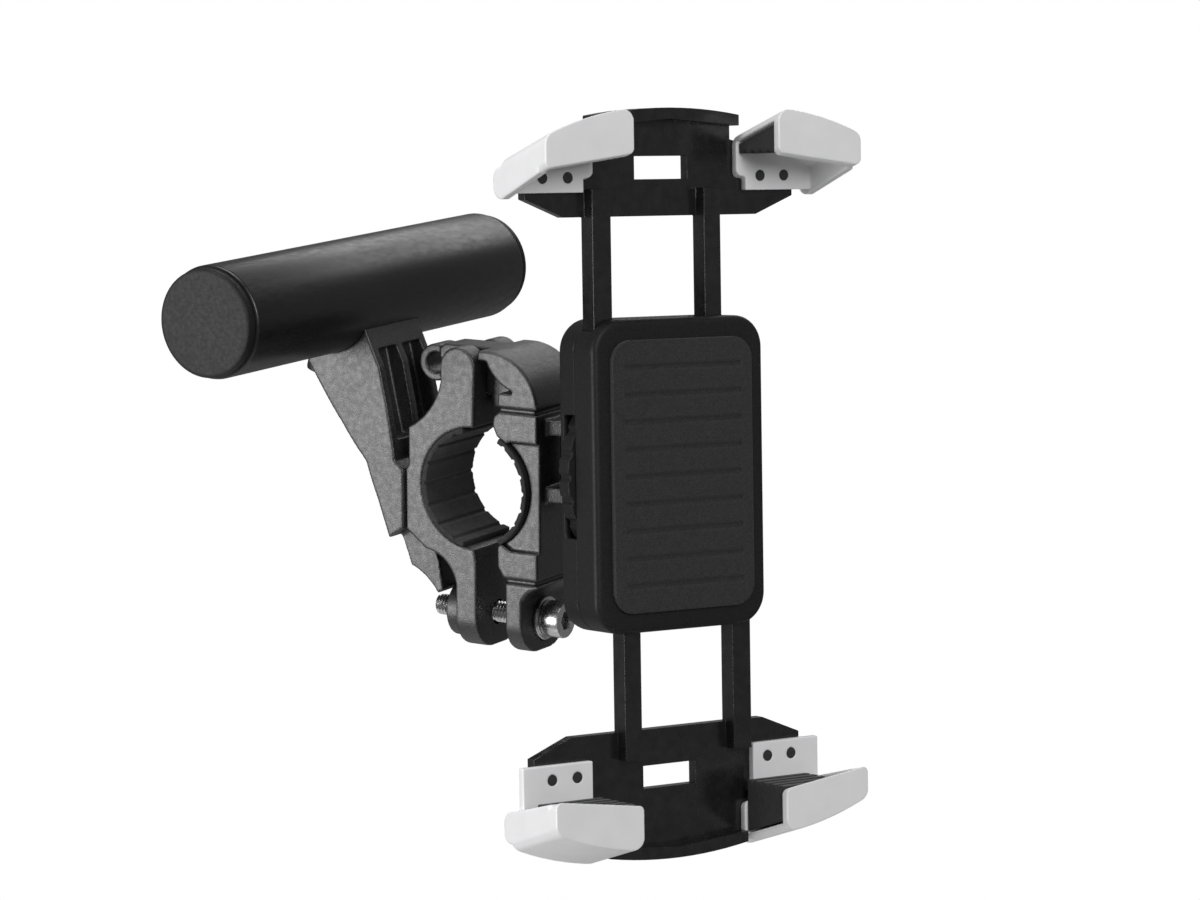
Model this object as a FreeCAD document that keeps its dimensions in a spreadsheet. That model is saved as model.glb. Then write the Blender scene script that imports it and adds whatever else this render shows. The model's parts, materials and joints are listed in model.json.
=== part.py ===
import FreeCAD, Part
import math
import os
import re
import Sketcher

# A handlebar phone mount: a hinged clamp on the handlebar, a bracket behind it that carries an
# accessory tube, and in front of it a swivelling, tilting and turning holder with four claws.
# Frame, in millimetres: the origin is the centre of the clamp's bore, +X runs along the handlebar to
# the rider's right, +Y points away from the rider and +Z is up.

DIMENSIONS = {
    # clamp on the handlebar
    "bar_radius": 12.7,
    "liner_thickness": 1.3,
    "liner_half_angle": 78,
    "jaw_width": 20,
    "pin_y": 4.2,
    "pin_z": 27.5,
    "pin_radius": 2,
    "finger_radius": 4.6,
    "arm_width": 8.6,
    "arm_gap": 0.2,
    "arm_top_z": 31.8,
    "eye_y": 14.2,
    "eye_z": 27,
    "eye_radius": 4.3,
    "eye_hole_radius": 2.4,
    "running_gap": 0.05,
    "shoulder_radius": 13,
    "front_face_y": -16.9,
    "ear_gap_rear_y": -0.6,
    "ear_gap_front_y": -8.4,
    "ear_bottom_z": -37.6,
    "ear_corner": 7.5,
    "rear_ear_back_y": 5,
    "slot_floor_z": 20.5,
    "pin_blind_x": -8.4,
    "front_liner_half_angle": 61,
    "liner_groove": 0.5,
    "shelf_z": 22.6,
    "shoulder_rib": 2.2,
    "shoulder_y": -4.2,
    "shoulder_drop": 12.3,
    "waist_depth": 1.4,
    "front_ear_y": -12.6,
    "groove_width": 1.2,
    "groove_depth": 0.9,
    # clamp bolt, M5
    "bolt_z": -30.2,
    "bolt_radius": 2.45,
    "bolt_hole_radius": 2.85,
    "bolt_slot_drop": 2.4,
    "bolt_tip_y": 15.7,
    "bolt_head_radius": 4.2,
    "bolt_head_length": 5,
    "washer_radius": 5,
    "washer_thickness": 1,
    "nut_boss_radius": 6.4,
    "nut_boss_y": 10,
    "nut_width": 8,
    "nut_thickness": 4,
    # bracket and accessory tube
    "bracket_width": 22,
    "bracket_pad_y": 18.4,
    "bracket_rib": 2.4,
    "bracket_channel": 4,
    "tube_y": 39.3,
    "tube_z": 40.9,
    "tube_radius": 12.7,
    "tube_wall": 2,
    "tube_seat_radius": 12.4,
    "tube_seat_half": 11.2,
    "tube_half_length": 55,
    "cap_radius": 12.1,
    "cap_thickness": 2.6,
    "cap_plug": 9,
    "tube_edge": 0.6,
    "bracket_tail": 12,
    "bracket_screw_x": 5.5,
    "bracket_screw_z": -4,
    "bracket_thread": 3.5,
    "foot_seat_y": 22.2,
    "saddle_seat": 15.4,
    "tube_screw_x": 6,
    "nut_plate_length": 22,
    "nut_plate_thickness": 2.2,
    "small_screw_radius": 2,
    "small_head_radius": 3.5,
    "small_head_length": 3,
    "small_nut_width": 7,
    "nut_low": 2.6,
    # joints between the clamp and the holder
    "swivel_y": -23.4,
    "joint_z": 7.4,
    "swivel_radius": 5.5,
    "swivel_half_height": 5.85,
    "lug_thickness": 3.4,
    "lug_gap": 0.15,
    "tilt_arm": 12.5,
    "tilt_radius": 5,
    "tongue_width": 8,
    "cheek_width": 3.4,
    "tilt_depth": 30,
    "flange_radius": 11,
    "flange_back": 22.5,
    "flange_front": 19.35,
    "spindle_radius": 5,
    "spindle_front": 16.9,
    "hub_screw_radius": 1.5,
    "hub_head_radius": 2.75,
    "hub_head_length": 1.5,
    "hub_washer_radius": 7.2,
    "hub_thread": 7,
    "yaw_angle": -25,
    "tilt_angle": -6,
    "roll_angle": 3,
    # holder; its own frame has the phone's middle at the origin, X across, Y to the back, Z up
    "phone_height": 138.3,
    "pad_front": 3.7,
    "housing_front": 5,
    "housing_back": 19.2,
    "housing_split": 12.6,
    "housing_wall": 1.7,
    "housing_half_width": 22.5,
    "housing_half_height": 34,
    "housing_corner": 7,
    "pad_half_width": 18.5,
    "pad_half_height": 29.5,
    "post_x": 18.3,
    "post_near_x": 3,
    "post_z": 29.4,
    "post_radius": 2.8,
    "post_screw_radius": 1.2,
    "post_head_radius": 2.2,
    "post_head_length": 1.5,
    "guide_half_length": 22,
    "rack_front": 8,
    "rack_back": 12.4,
    "pitch_radius": 8,
    "gear_module": 1,
    "backlash": 0.3,
    "axle_radius": 4.5,
    "wheel_radius": 24.3,
    "wheel_front": 12.8,
    "wheel_back": 16.6,
    "wheel_web": 1.2,
    "wheel_rim": 8,
    "wheel_window": 13.4,
    "slide_gap": 0.3,
    "rack_outer": 13.6,
    "rail_inner": 15.4,
    "rail_outer": 20.2,
    "rack_tip": -14.5,
    "rail_tip": 3,
    # bows and claws
    "bow_shoulder": 56,
    "bow_half_width": 35.5,
    "bow_peak": 79.4,
    "bow_radius": 110,
    "bow_rim": 2.4,
    "bow_rim_front": 7.4,
    "bow_floor_front": 11,
    "bow_back": 13.6,
    "claw_inner": 19,
    "claw_outer": 41.5,
    "claw_inner_top": 79,
    "claw_outer_top": 73.3,
    "claw_inner_edge": 69.4,
    "claw_outer_edge": 66.4,
    "claw_front": -6.6,
    "lip_back": -4.6,
    "claw_wall": 2.2,
    "claw_seat": 9.2,
    "claw_end_back": 14,
    "claw_lean": 0.3,
    "bow_end": 1.2,
    "bow_drop": 5,
    "grip_outer": 36,
    "grip_clearance": 0.15,
    "claw_screw_radius": 1.2,
    "claw_screw_head": 2.3,
    "claw_head_length": 1.3,
    "claw_screw_z": 64.5,
}

X_AXIS = FreeCAD.Vector(1, 0, 0)
Y_AXIS = FreeCAD.Vector(0, 1, 0)
Z_AXIS = FreeCAD.Vector(0, 0, 1)
TO_Y = FreeCAD.Rotation(X_AXIS, -90)
TO_X = FreeCAD.Rotation(Y_AXIS, 90)

EDGE_REACH = 0.6
BORE = "bar_radius + liner_thickness"
SADDLE_FRONT = 210
SADDLE_BACK = 297
TUBE_SCREW_ANGLE = 285
PLATE_HALF_ANGLE = 28
LINER_GROOVES = 7
GRIP_GROOVES = 4
PAD_GROOVES = 9
PRESSURE_ANGLE = 20
FLANK_STEPS = 6
WHEEL_NOTCHES = 30
RACK_TEETH = range(-4, 6)

doc = FreeCAD.newDocument("PhoneMount")
sheet = doc.addObject("Spreadsheet::Sheet", "Sizes")
parts = []


def fill_sheet():
    """Write every driving dimension to its own cell, with its name as the alias."""
    for row, (name, value) in enumerate(DIMENSIONS.items(), start=1):
        sheet.set("A%d" % row, name)
        sheet.set("B%d" % row, str(value))
        sheet.setAlias("B%d" % row, name)
    doc.recompute()


def linked(text):
    """An expression in which each dimension's name points at its cell."""
    def point_at_cell(word):
        return "Sizes." + word[0] if word[0] in DIMENSIONS else word[0]

    return re.sub(r"[a-z_]+", point_at_cell, str(text))


def value(text):
    """The number that an expression in dimension names gives now."""
    return float(sheet.evalExpression(linked(text)))


def bind(item, **sizes):
    """Bind properties of an object to expressions in dimension names."""
    for name, text in sizes.items():
        item.setExpression(name.replace("__", "."), linked(text))
    return item


def at(x=0, y=0, z=0, rotation=None):
    """A placement from expressions in dimension names."""
    place = FreeCAD.Vector(value(x), value(y), value(z))
    return FreeCAD.Placement(place, rotation or FreeCAD.Rotation())


def finish(item, label, placement=None):
    """Name a sub-part, place it, and keep it for the export."""
    item.Label = label
    if placement is not None:
        item.Placement = placement
    parts.append(item)
    return item


# ---------------------------------------------------------------- sketches and features


def new_body(name):
    return doc.addObject("PartDesign::Body", name + "_body")


def sketch_on(body, plane, offset):
    """A sketch on one of the body's origin planes, moved along the plane's normal."""
    sketch = body.newObject("Sketcher::SketchObject", "Outline")
    role = [item for item in body.Origin.OriginFeatures if item.Role == plane + "_Plane"]
    sketch.AttachmentSupport = [(role[0], "")]
    sketch.MapMode = "FlatFace"
    sketch.AttachmentOffset = FreeCAD.Placement(FreeCAD.Vector(0, 0, value(offset)), FreeCAD.Rotation())
    bind(sketch, AttachmentOffset__Base__z=offset)
    return sketch


def fix(sketch, kind, where, text):
    """Add a constraint and bind it to an expression."""
    index = sketch.addConstraint(Sketcher.Constraint(kind, *where, value(text)))
    sketch.setExpression("Constraints[%d]" % index, linked(text))


def arc_between(start, end, radius):
    """An arc with a given radius; a positive radius bulges to the right of start to end."""
    chord = end - start
    side = FreeCAD.Vector(chord.y, -chord.x, 0).normalize()
    size = abs(radius)
    rise = size - math.sqrt(max(size * size - chord.Length ** 2 / 4, 0))
    middle = (start + end) * 0.5 + side * math.copysign(rise, radius)
    return Part.Arc(start, middle, end)


def draw(sketch, outline):
    """Draw a closed outline of (x, y) corners; a third entry is the radius of the arc to the next one."""
    corners = [FreeCAD.Vector(value(corner[0]), value(corner[1]), 0) for corner in outline]
    count = len(corners)
    for index, corner in enumerate(outline):
        start, end = corners[index], corners[(index + 1) % count]
        curved = len(corner) == 3
        edge = arc_between(start, end, value(corner[2])) if curved else Part.LineSegment(start, end)
        sketch.addGeometry(edge, False)
    ends = []
    for index, corner in enumerate(outline):
        forward = len(corner) < 3 or value(corner[2]) > 0
        ends.append((1, 2) if forward else (2, 1))
    for index, corner in enumerate(outline):
        after = (index + 1) % count
        sketch.addConstraint(Sketcher.Constraint("Coincident", index, ends[index][1], after, ends[after][0]))
        fix(sketch, "DistanceX", (index, ends[index][0]), corner[0])
        fix(sketch, "DistanceY", (index, ends[index][0]), corner[1])
        if len(corner) == 3:
            fix(sketch, "Radius", (index,), "abs(%s)" % corner[2])


def slab(body, plane, middle, thickness, outline, cut=False):
    """Add or cut an outline's prism, as thick as given and centred on an offset plane."""
    sketch = sketch_on(body, plane, middle)
    draw(sketch, outline)
    feature = body.newObject("PartDesign::Pocket" if cut else "PartDesign::Pad", "Cut" if cut else "Block")
    feature.Profile = sketch
    feature.Midplane = True
    bind(feature, Length=thickness)
    body.Tip = feature


def disc(body, plane, middle, thickness, x, y, radius, cut=False):
    """Add or cut a round prism centred on an offset plane."""
    sketch = sketch_on(body, plane, middle)
    sketch.addGeometry(Part.Circle(FreeCAD.Vector(value(x), value(y), 0), Z_AXIS, value(radius)), False)
    fix(sketch, "Radius", (0,), radius)
    fix(sketch, "DistanceX", (0, 3), x)
    fix(sketch, "DistanceY", (0, 3), y)
    feature = body.newObject("PartDesign::Pocket" if cut else "PartDesign::Pad", "Hole" if cut else "Disc")
    feature.Profile = sketch
    feature.Midplane = True
    bind(feature, Length=thickness)
    body.Tip = feature


def lean_shift(lean, depth):
    """How far a leaning claw has moved down its own frame at a depth."""
    return "(%s) * ((%s) - claw_front)" % (lean, depth)


def leaning(body, front, back, outline, lean, cut=False):
    """Add or cut a prism between two depths that leans as it goes back."""
    slab(body, "XZ", *across_y(front, back), outline, cut=cut)
    feature = body.Tip
    shift = "-" + lean_shift(lean, "((%s) + (%s)) / 2" % (front, back))
    sketch = feature.Profile[0]
    bind(sketch, AttachmentOffset__Base__y=shift)
    feature.UseCustomVector = True
    feature.AlongSketchNormal = True
    feature.Direction = FreeCAD.Vector(0, 1, -value(lean))


def edges_near(shape, points):
    """The names of the edges that pass within EDGE_REACH of the given points."""
    names = []
    for index, edge in enumerate(shape.Edges, start=1):
        for point in points:
            spot = Part.Vertex(FreeCAD.Vector(value(point[0]), value(point[1]), value(point[2])))
            if edge.distToShape(spot)[0] < EDGE_REACH and "Edge%d" % index not in names:
                names.append("Edge%d" % index)
    return names


def round_edges(body, points, radius):
    """Round the body's edges at the given points."""
    doc.recompute()
    base = body.Tip
    feature = body.newObject("PartDesign::Fillet", "Fillet")
    feature.Base = (base, edges_near(base.Shape, points))
    bind(feature, Radius=radius)
    body.Tip = feature


def cylinder(name, radius, length, placement):
    item = doc.addObject("Part::Cylinder", name)
    bind(item, Radius=radius, Height=length)
    item.Placement = placement
    return item


def hexagon(name, across, length, placement):
    item = doc.addObject("Part::Prism", name)
    item.Polygon = 6
    bind(item, Circumradius="(%s) / sqrt(3)" % across, Height=length)
    item.Placement = placement
    return item


def joined(name, items):
    fuse = doc.addObject("Part::MultiFuse", name)
    fuse.Shapes = items
    fuse.Refine = True
    return fuse


def cut(name, base, tool):
    result = doc.addObject("Part::Cut", name)
    result.Base = base
    result.Tool = tool
    return result


def group(name, items):
    compound = doc.addObject("Part::Compound", name)
    compound.Links = items
    return compound


def rectangle(left, low, right, high):
    return [(left, low), (right, low), (right, high), (left, high)]


def screw(name, radius, length, head_radius, head_length, placement):
    """A socket-head screw: the head's top is at the origin and the shank points along +Z."""
    head = cylinder(name + "_head", head_radius, head_length, at())
    shank = cylinder(name + "_shank", radius, "%s + %s" % (head_length, length), at())
    socket = hexagon(name + "_socket", "%s * 0.95" % head_radius, "%s * 0.6" % head_length, at())
    item = cut(name, joined(name + "_blank", [head, shank]), socket)
    item.Placement = placement
    return item


# ---------------------------------------------------------------- clamp


def on_tube(angle):
    """A point of the tube's seat, by its angle round the tube from +Y towards +Z."""
    return ("tube_y + tube_seat_radius * cos(%s)" % angle, "tube_z + tube_seat_radius * sin(%s)" % angle)


def ear_corners(body, y):
    """Round the two lower corners of a clamp ear, seen along the bolt."""
    sides = ["jaw_width / 2", "-jaw_width / 2"]
    round_edges(body, [(side, y, "ear_bottom_z") for side in sides], "ear_corner")


def hexagon_outline(across, x, y):
    """The six corners of a hexagon with two corners on the x axis's ends."""
    far = "(%s) / sqrt(3)" % across
    near = "(%s) / sqrt(12)" % across
    half = "(%s) / 2" % across
    corners = [
        (far, "0"),
        (near, half),
        ("-" + near, half),
        ("-" + far, "0"),
        ("-" + near, "-" + half),
        (near, "-" + half),
    ]
    return [("%s + %s" % (x, corner[0]), "%s + %s" % (y, corner[1])) for corner in corners]


def make_rear_jaw():
    """The half of the clamp behind the handlebar: two hinge fingers, a half ring and the rear ear."""
    body = new_body("rear_jaw")
    finger_back = "pin_y + finger_radius"
    slab(body, "YZ", "0", "jaw_width", [
        ("0", BORE, "-(%s)" % BORE),
        (BORE, "0", "-(%s)" % BORE),
        ("0", "-(%s)" % BORE),
        ("ear_gap_rear_y", "-16.8"),
        ("ear_gap_rear_y", "ear_bottom_z"),
        ("rear_ear_back_y", "ear_bottom_z"),
        ("rear_ear_back_y", "-22.5", "-9"),
        ("13", "-15.2"),
        ("bracket_pad_y", "-11"),
        ("bracket_pad_y", "3"),
        ("bracket_pad_y - 0.8", "3.8"),
        ("bracket_pad_y - 0.8", "12.8", "-16"),
        (finger_back, "24"),
        (finger_back, "pin_z", "finger_radius"),
        ("pin_y", "pin_z + finger_radius", "finger_radius"),
        ("pin_y - finger_radius", "pin_z"),
    ])
    ear_corners(body, "rear_ear_back_y / 2")
    slab(body, "YZ", "0", "arm_width + 2 * arm_gap", rectangle("-6", "slot_floor_z", "20", "40"), cut=True)
    disc(body, "XZ", "-(nut_boss_y + rear_ear_back_y - 1) / 2", "nut_boss_y - rear_ear_back_y + 1", "0",
         "bolt_z",
         "nut_boss_radius")
    disc(body, "XZ", "0", "30", "0", "bolt_z", "bolt_hole_radius", cut=True)
    slab(body, "XZ", "-(nut_boss_y - nut_thickness / 2)", "nut_thickness",
         hexagon_outline("nut_width", "0", "bolt_z"), cut=True)
    disc(body, "YZ", "(jaw_width / 2 + pin_blind_x) / 2", "jaw_width / 2 - pin_blind_x", "pin_y", "pin_z",
         "pin_radius",
         cut=True)
    for side in ("", "-"):
        disc(body, "XZ", "-(bracket_pad_y - bracket_thread / 2)", "bracket_thread", side + "bracket_screw_x",
             "bracket_screw_z", "small_screw_radius", cut=True)
    finish(body, "rear_jaw")


def make_liner(label, half_angle, turn):
    """A rubber strip round part of the bore, with shallow grooves along the handlebar."""
    start = FreeCAD.Rotation(X_AXIS, turn - value(half_angle)) * TO_X * FreeCAD.Rotation(Z_AXIS, 90)
    outer = cylinder(label + "_outer", BORE, "jaw_width", at("-jaw_width / 2", 0, 0, start))
    bind(outer, Angle="2 * " + half_angle)
    tools = [cylinder(label + "_bore", "bar_radius", "jaw_width + 2", at("-jaw_width / 2 - 1", 0, 0, TO_X))]
    for index in range(LINER_GROOVES):
        angle = turn + value(half_angle) * (2 * (index + 0.5) / LINER_GROOVES - 1)
        y = "bar_radius * cos(%s)" % angle
        z = "bar_radius * sin(%s)" % angle
        tools.append(cylinder(label + "_groove", "liner_groove", "jaw_width + 2",
                              at("-jaw_width / 2 - 1", y, z, TO_X)))
    finish(cut(label, outer, joined(label + "_tools", tools)), label)


def make_bar_bracket():
    """The arm behind the clamp: a foot on the rear jaw, a channelled neck and a saddle under the tube."""
    body = new_body("bar_bracket")
    front, back = on_tube(SADDLE_FRONT), on_tube(SADDLE_BACK)
    slab(body, "YZ", "0", "bracket_width", [
        front,
        ("24.6", "26.1"),
        ("22.6", "16.8"),
        ("20.9", "6.9"),
        ("20.7", "4.6"),
        ("bracket_pad_y", "2.8"),
        ("bracket_pad_y", "-10.8"),
        ("22.4", "-13.5"),
        ("25.6", "-4.5", "90"),
        ("28.7", "4", "60"),
        ("35", "12.1", "90"),
        ("40.2", "19.4"),
        ("44.2", "25.6"),
        back + ("-tube_seat_radius",),
    ])
    slab(body, "YZ", "0", "bracket_tail", [
        ("bracket_pad_y", "-6"),
        ("bracket_pad_y", "-11"),
        ("13.2", "-15.1"),
        ("12", "-18.6"),
        ("11", "-25.2"),
        ("12.4", "-26.3", "-14"),
        ("19.6", "-20.4"),
        ("23.4", "-10"),
        ("23", "-6"),
    ])
    channel = "(bracket_width - 3 * bracket_rib) / 2"
    for side in ("", "-"):
        slab(body, "YZ", "%s(bracket_rib + %s) / 2" % (side, channel), channel, [
            ("16", "9.5"),
            ("20.9 + bracket_channel", "9.5"),
            ("22.6 + bracket_channel", "16.8"),
            ("24.6 + bracket_channel", "26.1"),
            ("25.4 + bracket_channel", "29.8"),
            ("16", "29.8"),
        ], cut=True)
        slab(body, "YZ", "%s(bracket_rib + %s) / 2" % (side, channel), channel, [
            ("32.4", "5"),
            ("40", "5"),
            ("44", "22"),
            ("38.8", "21.4"),
            ("33.2", "13.6"),
            ("30.4", "9.6"),
        ], cut=True)
    tools = []
    for x in ("bracket_screw_x", "-bracket_screw_x"):
        tools.append(cylinder("foot_hole", "small_screw_radius", "20", at(x, "15", "bracket_screw_z", TO_Y)))
        tools.append(cylinder("foot_seat", "small_head_radius + 0.2", "20",
                              at(x, "foot_seat_y", "bracket_screw_z", TO_Y)))
    for x in ("tube_screw_x", "-tube_screw_x"):
        tools.append(cylinder("saddle_hole", "small_screw_radius", "20", tube_screw_place(x, "8")))
        tools.append(cylinder("saddle_seat", "small_head_radius + 0.2", "12",
                              tube_screw_place(x, "saddle_seat")))
    finish(cut("bar_bracket", body, joined("bracket_tools", tools)), "bar_bracket")


def tube_screw_place(x, radius, inward=False):
    """A place on a tube screw's axis, at a radius from the tube's axis, pointing out or in."""
    y = "tube_y + (%s) * cos(%s)" % (radius, TUBE_SCREW_ANGLE)
    z = "tube_z + (%s) * sin(%s)" % (radius, TUBE_SCREW_ANGLE)
    turn = TUBE_SCREW_ANGLE - 90 + (180 if inward else 0)
    return at(x, y, z, FreeCAD.Rotation(X_AXIS, turn))


def make_tube():
    """The accessory tube with its end caps, the screws that hold it and the nut plate inside it."""
    length = "2 * tube_half_length"
    blank = cylinder("tube_blank", "tube_radius", length, at("-tube_half_length", "tube_y", "tube_z", TO_X))
    edged = doc.addObject("Part::Chamfer", "tube_edged")
    edged.Base = blank
    edged.Edges = [(1, value("tube_edge"), value("tube_edge")), (3, value("tube_edge"), value("tube_edge"))]
    tools = [cylinder("tube_bore", "tube_radius - tube_wall", length + " + 2",
                      at("-tube_half_length - 1", "tube_y", "tube_z", TO_X))]
    start = at("-tube_seat_half", "tube_y", "tube_z", TO_X)
    sleeve = cylinder("seat_outer", "tube_radius + 1", "2 * tube_seat_half", start)
    core = cylinder("seat_inner", "tube_seat_radius", "2 * tube_seat_half", start)
    tools.append(cut("seat_ring", sleeve, core))
    for x in ("tube_screw_x", "-tube_screw_x"):
        tools.append(cylinder("tube_hole", "small_screw_radius", "8", tube_screw_place(x, "8")))
    finish(cut("accessory_tube", edged, joined("tube_tools", tools)), "accessory_tube")

    start = (FreeCAD.Rotation(X_AXIS, TUBE_SCREW_ANGLE - PLATE_HALF_ANGLE) * TO_X
             * FreeCAD.Rotation(Z_AXIS, 90))
    strip = cylinder("plate_strip", "tube_radius - tube_wall", "nut_plate_length",
                     at("-nut_plate_length / 2", "tube_y", "tube_z", start))
    strip.Angle = 2 * PLATE_HALF_ANGLE
    tools = [cylinder("plate_bore", "tube_radius - tube_wall - nut_plate_thickness", "nut_plate_length + 2",
                      at("-nut_plate_length / 2 - 1", "tube_y", "tube_z", TO_X))]
    for x in ("tube_screw_x", "-tube_screw_x"):
        tools.append(cylinder("plate_hole", "small_screw_radius", "8", tube_screw_place(x, "6")))
    finish(cut("tube_nut_plate", strip, joined("plate_tools", tools)), "tube_nut_plate")

    length = "saddle_seat - tube_radius + tube_wall + nut_plate_thickness"
    screws = []
    for x in ("tube_screw_x", "-tube_screw_x"):
        place = tube_screw_place(x, "saddle_seat + small_head_length", inward=True)
        screws.append(screw("tube_screw", "small_screw_radius", length, "small_head_radius",
                            "small_head_length", place))
    finish(group("tube_screws", screws), "tube_screws")

    ends = {"tube_cap_left": ("-tube_half_length", 0), "tube_cap_right": ("tube_half_length", 180)}
    for label, (x, turn) in ends.items():
        body = new_body(label)
        sketch = sketch_on(body, "XY", "0")
        draw(sketch, [
            ("cap_plug", "tube_radius - tube_wall - 2"),
            ("cap_plug", "tube_radius - tube_wall - 0.05"),
            ("0", "tube_radius - tube_wall - 0.05"),
            ("0", "cap_radius - 0.5"),
            ("-0.4", "cap_radius"),
            ("-cap_thickness + 0.7", "cap_radius", "0.7"),
            ("-cap_thickness", "cap_radius - 0.7"),
            ("-cap_thickness", "cap_radius - 1.6"),
            ("-cap_thickness + 0.4", "cap_radius - 2"),
            ("-cap_thickness + 0.4", "0"),
            ("-0.2", "0"),
            ("-0.2", "tube_radius - tube_wall - 2"),
        ])
        turned = body.newObject("PartDesign::Revolution", "Turned")
        turned.Profile = sketch
        turned.ReferenceAxis = (sketch, ["H_Axis"])
        turned.Angle = 360
        body.Tip = turned
        finish(body, label, at(x, "tube_y", "tube_z", FreeCAD.Rotation(Z_AXIS, turn)))


def make_clamp_hardware():
    """The hinge pin, the screws of the bracket's foot and the captive nut of the clamp bolt."""
    pin = cylinder("pin", "pin_radius", "jaw_width / 2 - pin_blind_x",
                   at("pin_blind_x", "pin_y", "pin_z", TO_X))
    finish(pin, "hinge_pin")
    screws = []
    for x in ("bracket_screw_x", "-bracket_screw_x"):
        place = at(x, "foot_seat_y + small_head_length", "bracket_screw_z", FreeCAD.Rotation(X_AXIS, 90))
        length = "foot_seat_y - bracket_pad_y + bracket_thread"
        screws.append(screw("foot_screw", "small_screw_radius", length, "small_head_radius",
                            "small_head_length", place))
    finish(group("bracket_screws", screws), "bracket_screws")
    place = at("0", "nut_boss_y - nut_thickness", "bolt_z", TO_Y)
    blank = hexagon("nut_blank", "nut_width", "nut_thickness", place)
    bore = cylinder("nut_bore", "bolt_radius + running_gap", "nut_thickness", place)
    finish(cut("clamp_nut", blank, bore), "clamp_nut")


def make_clamp_bolt():
    """The clamp bolt and its washer, which push the front ear towards the nut."""
    washer_y = "front_ear_y - washer_thickness"
    place = at("0", washer_y, "bolt_z", TO_Y)
    blank = cylinder("washer_blank", "washer_radius", "washer_thickness", place)
    bore = cylinder("washer_bore", "bolt_radius + running_gap", "washer_thickness", place)
    finish(cut("clamp_washer", blank, bore), "clamp_washer")
    head_y = "%s - bolt_head_length" % washer_y
    bolt = screw("clamp_bolt", "bolt_radius", "bolt_tip_y - (%s)" % washer_y, "bolt_head_radius",
                 "bolt_head_length",
                 at("0", head_y, "bolt_z", TO_Y))
    finish(bolt, "clamp_bolt")


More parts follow.
